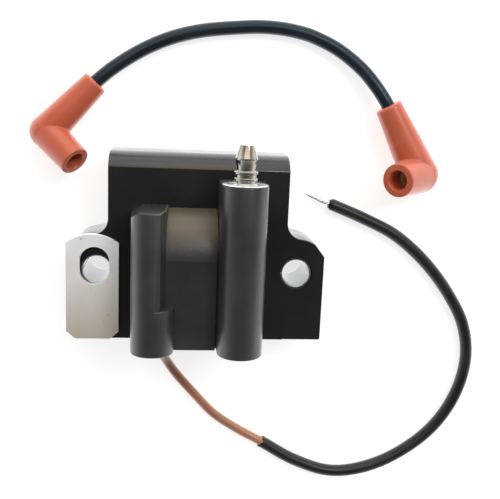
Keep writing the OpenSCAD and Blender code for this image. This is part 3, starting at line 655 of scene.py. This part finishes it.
def elbow_boot(name, place, turn, angle, mouth_r, elbow_r, end_r, leg_l, socket_l,
               cable_l, bore_r, clip_r, free_l):
    """A rubber elbow: a leg along X and a socket at an angle to it, turned about the leg."""
    leg_way = Matrix.Rotation(math.radians(90), 4, "Y")
    socket_way = (Matrix.Rotation(math.radians(turn), 4, "X")
                  @ Matrix.Rotation(math.radians(angle), 4, "Z") @ leg_way)
    leg = turned(name, lipped(elbow_r - 0.1, mouth_r, leg_l, 0.9), 64, leg_way)
    socket = turned("socket", lipped(elbow_r - 0.1, end_r, socket_l, 0.35), 64, socket_way)
    bpy.ops.mesh.primitive_uv_sphere_add(segments=48, ring_count=24, radius=elbow_r * MM)
    ball = bpy.context.object
    pick(leg, socket, ball)
    bpy.ops.object.join()
    leg.data.remesh_voxel_size = 0.2 * MM
    bpy.ops.object.voxel_remesh()
    bpy.ops.object.modifier_add(type="SMOOTH")
    leg.modifiers[-1].factor = 0.5
    leg.modifiers[-1].iterations = 6
    bpy.ops.object.modifier_apply(modifier=leg.modifiers[-1].name)
    floor = socket_way @ Vector((0, 0, CLIP_FLOOR))
    seat = socket_way @ Vector((0, 0, socket_l - free_l))
    mouth = socket_way @ Vector((0, 0, socket_l))
    beyond = socket_way @ Vector((0, 0, socket_l + 1))
    cut(leg,
        rod((leg_l - cable_l, 0, 0), (leg_l + 1, 0, 0), CABLE_HOLE_R, 48),
        rod((-WIRE_HOLE_R, 0, 0), (leg_l, 0, 0), WIRE_HOLE_R, 32),
        rod((0, 0, 0), floor * 1.2, WIRE_HOLE_R, 32),
        rod(floor, seat * 1.05, clip_r, 48),
        rod(seat, beyond, bore_r, 48),
        rod(mouth * 0.975, beyond, bore_r - 0.05, 48, bore_r + 1))
    soften(leg, 40)
    leg.matrix_world = place
    return settle(leg)


# %% The two boots
coil_place = end_of_cable(CABLE[0], CABLE[1], 21.2 - 11.6)
coil_boot = elbow_boot("coil_end_boot_moulded", coil_place, 150, 88, 3.9, 5.2, 4.6, 21.2,
                       14.2, 11.6, 2.85, 2.5, 6.5)
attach(coil_boot, "coil_end")
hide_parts("coil_end_boot")
plug_place = end_of_cable(CABLE[-1], CABLE[-2], 24.2 - 14.2)
plug_boot = elbow_boot("plug_end_boot_moulded", plug_place, 47, 74, 4.2, 6, 5.2, 24.2, 13.8,
                       14.2, 3.1, 2.75, 6.5)
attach(plug_boot, "plug_end")
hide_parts("plug_end_boot")
print("boots:", len(coil_boot.data.polygons), "and", len(plug_boot.data.polygons), "faces")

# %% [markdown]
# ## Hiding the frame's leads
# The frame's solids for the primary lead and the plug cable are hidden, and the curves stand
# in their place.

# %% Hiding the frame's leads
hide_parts("lead_insulation", "lead_conductor")
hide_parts("plug_cable_jacket")

# %% [markdown]
# ## Shared effects
# Two effects turn up in nearly every finish. **Grain** is the fine unevenness of a moulded
# or rubbed surface: small bumps, and patches that are a little lighter or rougher.
# **Specks** are sparse spots, for dust, pits and scuffs. Each is a node group, placed in a
# material with its own values.

# %% Node groups


def new_group(name, inputs, outputs):
    tree = bpy.data.node_groups.new(name, "ShaderNodeTree")
    for label, value in inputs:
        socket = tree.interface.new_socket(label, in_out="INPUT",
                                           socket_type="NodeSocketFloat")
        socket.default_value = value
    for label, kind in outputs:
        tree.interface.new_socket(label, in_out="OUTPUT", socket_type=kind)
    return tree, tree.nodes.new("NodeGroupInput"), tree.nodes.new("NodeGroupOutput")


grain, grain_in, grain_out = new_group(
    "grain", [("Bump Scale", 900), ("Bump Depth", 0.3), ("Patch Scale", 60)],
    [("Patches", "NodeSocketFloat"), ("Normal", "NodeSocketVector")])
places = grain.nodes.new("ShaderNodeTexCoord")
fine = grain.nodes.new("ShaderNodeTexNoise")
fine.inputs["Detail"].default_value = 3
patches = grain.nodes.new("ShaderNodeTexNoise")
patches.inputs["Detail"].default_value = 5
bump = grain.nodes.new("ShaderNodeBump")
bump.inputs["Distance"].default_value = 0.0002
for a, b in ((places.outputs["Object"], fine.inputs["Vector"]),
             (places.outputs["Object"], patches.inputs["Vector"]),
             (grain_in.outputs["Bump Scale"], fine.inputs["Scale"]),
             (grain_in.outputs["Patch Scale"], patches.inputs["Scale"]),
             (grain_in.outputs["Bump Depth"], bump.inputs["Strength"]),
             (fine.outputs["Fac"], bump.inputs["Height"]),
             (patches.outputs["Fac"], grain_out.inputs["Patches"]),
             (bump.outputs["Normal"], grain_out.inputs["Normal"])):
    grain.links.new(a, b)

specks, specks_in, specks_out = new_group(
    "specks", [("Scale", 400), ("Amount", 0.2)], [("Mask", "NodeSocketFloat")])
places = specks.nodes.new("ShaderNodeTexCoord")
cells = specks.nodes.new("ShaderNodeTexVoronoi")
spread = specks.nodes.new("ShaderNodeMapRange")
spread.inputs["From Min"].default_value = 0
spread.inputs["To Min"].default_value = 1
spread.inputs["To Max"].default_value = 0
for a, b in ((places.outputs["Object"], cells.inputs["Vector"]),
             (specks_in.outputs["Scale"], cells.inputs["Scale"]),
             (cells.outputs["Distance"], spread.inputs["Value"]),
             (specks_in.outputs["Amount"], spread.inputs["From Max"]),
             (spread.outputs["Result"], specks_out.inputs["Mask"])):
    specks.links.new(a, b)

# %% Material makers


def place_group(tree, group, **values):
    node = tree.nodes.new("ShaderNodeGroup")
    node.node_tree = group
    for label, value in values.items():
        node.inputs[label.replace("_", " ").title()].default_value = value
    return node


def mixed(tree, factor, first, second):
    """A colour that goes from first to second as factor goes from 0 to 1."""
    node = tree.nodes.new("ShaderNodeMix")
    node.data_type = "RGBA"
    tree.links.new(factor, node.inputs["Factor"])
    for value, socket in ((first, node.inputs["A"]), (second, node.inputs["B"])):
        if isinstance(value, tuple):
            socket.default_value = (*value, 1)
        else:
            tree.links.new(value, socket)
    return node.outputs["Result"]


def spread_out(tree, value, low, high, new_low, new_high):
    """Maps a value from one range to another, held at the ends."""
    node = tree.nodes.new("ShaderNodeMapRange")
    tree.links.new(value, node.inputs["Value"])
    for label, number in (("From Min", low), ("From Max", high), ("To Min", new_low),
                          ("To Max", new_high)):
        node.inputs[label].default_value = number
    return node.outputs["Result"]


def new_finish(name, first, second, rough, bump_scale, bump_depth, patch_scale, **plain):
    """A surface whose colour and roughness wander between two values in patches. The
    plain values are the same all over, and go straight onto the shader's own sockets."""
    material = bpy.data.materials.new(name)
    material.use_nodes = True
    tree = material.node_tree
    shader = tree.nodes["Principled BSDF"]
    texture = place_group(tree, grain, bump_scale=bump_scale, bump_depth=bump_depth,
                          patch_scale=patch_scale)
    patchy = spread_out(tree, texture.outputs["Patches"], 0.35, 0.65, 0, 1)
    tree.links.new(mixed(tree, patchy, first, second), shader.inputs["Base Color"])
    tree.links.new(spread_out(tree, texture.outputs["Patches"], 0.3, 0.7, *rough),
                   shader.inputs["Roughness"])
    tree.links.new(texture.outputs["Normal"], shader.inputs["Normal"])
    for label, value in plain.items():
        shader.inputs[label.replace("_", " ")].default_value = value
    return material


def speckle(material, colour, scale, amount, share=1.0):
    """Adds sparse spots of another colour to a finish."""
    tree = material.node_tree
    shader = tree.nodes["Principled BSDF"]
    under = shader.inputs["Base Color"].links[0].from_socket
    spots = place_group(tree, specks, scale=scale, amount=amount)
    mask = spread_out(tree, spots.outputs["Mask"], 0, 1, 0, share)
    tree.links.new(mixed(tree, mask, under, colour), shader.inputs["Base Color"])
    return material


def paint_light_along_y(material, colour, plain_y, painted_y):
    """Paints light or shade into a finish: its colour turns gradually to another along Y, for
    the painted reflections and the painted shade that grow towards one end of a part."""
    tree = material.node_tree
    shader = tree.nodes["Principled BSDF"]
    under = shader.inputs["Base Color"].links[0].from_socket
    place = tree.nodes.new("ShaderNodeTexCoord")
    split = tree.nodes.new("ShaderNodeSeparateXYZ")
    tree.links.new(place.outputs["Object"], split.inputs["Vector"])
    far = spread_out(tree, split.outputs["Y"], painted_y, plain_y, 1, 0)
    tree.links.new(mixed(tree, far, under, colour), shader.inputs["Base Color"])
    return material


# %% [markdown]
# ## Finishes
# The case's front is spark-eroded: dark and dull with a fine tooth. The barrel, the rib
# and the tower are a little smoother, and their base colour is painted a little lighter for
# the light their round faces gather. The barrel's round top turns a painted warm tan towards
# the flange: a painted reflection of the warm panel. The sides slid out of the mould and are
# glossy, so they catch the pale table at a glancing angle. The plate and the bushes are bare
# steel, and the plate has a painted reflection that turns it warm and darker towards its foot.
# The terminal is plated, and the boots are silicone rubber with a soft sheen.

# %% Finishes for the coil
case_front = speckle(
    new_finish("case_front_grained", (0.006, 0.006, 0.007), (0.010, 0.010, 0.011),
               (0.42, 0.5), 2200, 0.3, 45, Specular_IOR_Level=0.2),
    (0.1, 0.1, 0.11), 420, 0.06, 0.4)
# Painted light: the posts' base colour is lighter than the front's, for the light their round
# faces gather; their smoother finish is real.
case_post = speckle(
    new_finish("case_posts_moulded", (0.014, 0.014, 0.016), (0.026, 0.026, 0.028),
               (0.3, 0.4), 1500, 0.22, 60),
    (0.12, 0.12, 0.12), 420, 0.06, 0.4)
case_barrel = speckle(
    new_finish("case_barrel_round_painted_sheen", (0.020, 0.020, 0.022), (0.034, 0.034, 0.036),
               (0.38, 0.48), 1500, 0.22, 60),
    (0.12, 0.12, 0.11), 420, 0.06, 0.4)
# Painted reflection: the barrel's round top turns warm tan towards the flange, a painted sheen
# for the warm panel's light.
paint_light_along_y(case_barrel, (0.082, 0.066, 0.044), 0.0105, 0.0145)
case_side = new_finish("case_side_smooth", (0.008, 0.008, 0.010), (0.016, 0.016, 0.019),
                       (0.24, 0.32), 500, 0.05, 70)
resin = new_finish("potting_resin", (0.012, 0.012, 0.013), (0.03, 0.03, 0.03),
                   (0.15, 0.35), 150, 0.5, 35)
plate_steel = speckle(
    new_finish("plate_steel_bare", (0.86, 0.87, 0.89), (0.94, 0.95, 0.97), (0.34, 0.44), 900,
               0.2, 110, Metallic=0.35),
    (0.12, 0.11, 0.1), 260, 0.13, 0.9)
# Painted reflection: the plate turns warm grey-brown and darker towards its foot, for what its
# face mirrors there.
paint_light_along_y(plate_steel, (0.5, 0.46, 0.38), 0.006, -0.021)
bush_steel = new_finish("bush_steel_drawn", (0.17, 0.19, 0.20), (0.27, 0.29, 0.30),
                        (0.22, 0.34), 700, 0.15, 200, Metallic=0.85)
terminal_metal = new_finish("terminal_plated", (0.24, 0.215, 0.17), (0.34, 0.32, 0.28),
                            (0.1, 0.2), 900, 0.06, 260, Metallic=1.0)
sealant_gloss = speckle(
    new_finish("sealant_clear_grey", (0.45, 0.47, 0.5), (0.85, 0.88, 0.92), (0.05, 0.2), 700,
               1.0, 420, Coat_Weight=0.6),
    (0.02, 0.02, 0.02), 520, 0.3, 0.95)
core_steel = new_finish("core_lamination_steel", (0.25, 0.26, 0.27), (0.4, 0.4, 0.42),
                        (0.35, 0.5), 1200, 0.2, 90, Metallic=1.0)
bobbin_nylon = new_finish("bobbin_nylon", (0.62, 0.57, 0.45), (0.74, 0.7, 0.6), (0.4, 0.5),
                          800, 0.1, 60)
winding_enamel = new_finish("winding_enamel", (0.36, 0.1, 0.03), (0.55, 0.2, 0.07),
                            (0.2, 0.35), 1500, 0.3, 120, Metallic=1.0)
wrap_film = new_finish("wrap_film", (0.7, 0.58, 0.25), (0.8, 0.7, 0.4), (0.15, 0.3), 500,
                       0.1, 70)
bright_wire = new_finish("tinned_wire", (0.5, 0.49, 0.47), (0.8, 0.79, 0.77), (0.2, 0.4),
                         900, 0.2, 500, Metallic=1.0)
spring_brass = new_finish("spring_brass", (0.6, 0.46, 0.2), (0.75, 0.62, 0.33),
                          (0.2, 0.35), 900, 0.1, 150, Metallic=1.0)

# %% Finishes for the leads
grommet_rubber = new_finish("grommet_rubber", (0.012, 0.012, 0.012), (0.025, 0.025, 0.025),
                            (0.5, 0.65), 900, 0.3, 150)
orange_wire = new_finish("lead_orange_insulation", (0.26, 0.10, 0.05), (0.36, 0.16, 0.085),
                         (0.28, 0.4), 500, 0.1, 90, Coat_Weight=0.1)
# Painted shade: the orange insulation turns dark red close to the case's foot, where it leaves
# the case.
paint_light_along_y(orange_wire, (0.16, 0.035, 0.014), -0.048, -0.03)
sleeve_black = new_finish("sleeve_black_varnished", (0.005, 0.005, 0.004),
                          (0.010, 0.010, 0.009), (0.34, 0.46), 350, 0.3, 130,
                          Specular_IOR_Level=0.35)
jacket_black = new_finish("cable_jacket_black", (0.006, 0.008, 0.009),
                          (0.010, 0.013, 0.014), (0.26, 0.36), 900, 0.12, 70,
                          Specular_IOR_Level=0.4, Specular_Tint=(0.5, 0.72, 1, 1))
boot_rubber = new_finish("boot_silicone_rubber", (0.41, 0.078, 0.034),
                         (0.47, 0.098, 0.045), (0.30, 0.40), 1300, 0.14, 60,
                         Sheen_Weight=0.15, Sheen_Roughness=0.4)

# %% Putting the finishes on


def dress(piece, *materials):
    piece.data.materials.clear()
    for material in materials:
        piece.data.materials.append(material)


dress(case, case_front, case_post, case_side, case_barrel)
for face in case.data.polygons:
    across = face.center.x / MM
    if face.center.z > (THICK + 0.1) * MM:
        # Faces of the barrel's round top that face the warm panel take the material with the
        # painted sheen.
        round_top = RIB_X + 2 < across < GROOVE_X and face.center.y > WINDING_Y * MM
        face.material_index = 3 if round_top and face.normal.y > 0.02 else 1
    elif abs(face.normal.z) < 0.35 or face.center.y > 31 * MM:
        face.material_index = 2
for piece, material in ((plate, plate_steel), (terminal, terminal_metal),
                        (seal, sealant_gloss), (grommet, grommet_rubber),
                        (wire, orange_wire), (sleeve, sleeve_black), (tip, bright_wire),
                        (cable, jacket_black), (coil_boot, boot_rubber),
                        (plug_boot, boot_rubber)):
    dress(piece, material)
for name in ("mounting_bush_left_lined", "mounting_bush_right_lined"):
    dress(bpy.data.objects[name], bush_steel)
for name, material in (("potting", resin), ("core_laminations", core_steel),
                       ("primary_bobbin", bobbin_nylon), ("primary_winding", winding_enamel),
                       ("winding_insulation", wrap_film), ("secondary_bobbin", bobbin_nylon),
                       ("secondary_winding", winding_enamel),
                       ("high_tension_link", bright_wire), ("primary_posts", spring_brass),
                       ("ground_wire", bright_wire), ("plug_cable_core", spring_brass),
                       ("coil_end_spring", spring_brass), ("plug_end_spring", spring_brass)):
    dress(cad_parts[name], material)

# %% [markdown]
# ## Table and light
# The coil lies on a light table in a dim room: the table glows, so shadows on it are pale,
# the holes look bright and the glossy sides mirror it. The Light Path node dims the glow
# for the camera alone, or the whole table would burn out. The room is dark overhead and
# bright round the horizon, which keeps black plastic black from above and gives its sides
# pale reflections. One wide warm panel beyond the terminal end gives the round tops their
# brown sheen, and a smaller lamp from the upper right lays the faint shadows towards the
# lower left.

# %% Table
bpy.ops.mesh.primitive_plane_add(size=4, location=(0, 0, -0.0002))
table = bpy.context.object
table.name = "table"
table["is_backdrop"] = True
paper = bpy.data.materials.new("table_paper")
paper.use_nodes = True
paper_shader = paper.node_tree.nodes["Principled BSDF"]
paper_shader.inputs["Base Color"].default_value = (0.45, 0.45, 0.45, 1)
paper_shader.inputs["Roughness"].default_value = 0.9
paper_shader.inputs["Specular IOR Level"].default_value = 0
paper_shader.inputs["Emission Color"].default_value = (1, 1, 1, 1)
seen = paper.node_tree.nodes.new("ShaderNodeLightPath")
glow = spread_out(paper.node_tree, seen.outputs["Is Camera Ray"], 0, 1, 1.7, 0.72)
paper.node_tree.links.new(glow, paper_shader.inputs["Emission Strength"])
dress(table, paper)

# %% Room and lamps
world = bpy.data.worlds.new("dim_room")
bpy.context.scene.world = world
world.use_nodes = True
room = world.node_tree
direction = room.nodes.new("ShaderNodeTexCoord")
height = room.nodes.new("ShaderNodeSeparateXYZ")
ramp = room.nodes.new("ShaderNodeValToRGB")
room.links.new(direction.outputs["Generated"], height.inputs["Vector"])
room.links.new(height.outputs["Z"], ramp.inputs["Fac"])
room.links.new(ramp.outputs["Color"], room.nodes["Background"].inputs["Color"])
ramp.color_ramp.elements[0].color = (1.9, 2.0, 2.15, 1)
ramp.color_ramp.elements[1].color = (0.16, 0.17, 0.19, 1)
for place, shade in ((0.15, (1.5, 1.58, 1.66, 1)), (0.35, (0.72, 0.75, 0.8, 1)),
                     (0.7, (0.36, 0.37, 0.39, 1)), (0.92, (0.2, 0.21, 0.23, 1))):
    ramp.color_ramp.elements.new(place).color = shade


def lamp(name, place, aim, width, height, power):
    data = bpy.data.lights.new(name, "AREA")
    data.shape = "RECTANGLE"
    data.size, data.size_y, data.energy = width, height, power
    light = bpy.data.objects.new(name, data)
    bpy.context.scene.collection.objects.link(light)
    light.location = place
    light.rotation_mode = "QUATERNION"
    light.rotation_quaternion = (Vector(aim) - Vector(place)).to_track_quat("-Z", "Y")
    return light


panel = lamp("warm_panel", (0, 0.62, 0.6), (0, 0, 0.02), 0.7, 1.1, 5)
panel.data.color = (1, 0.84, 0.64)
lamp("key_lamp", (0.5, 0.5, 0.85), (0, 0, 0.02), 0.3, 0.3, 4)
bpy.context.scene.view_settings.view_transform = "Standard"

# %% [markdown]
# ## The finished model's size
# The box round the visible pieces, without the table, is worked out at the end.

# %% Sizes and the end
low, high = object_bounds()
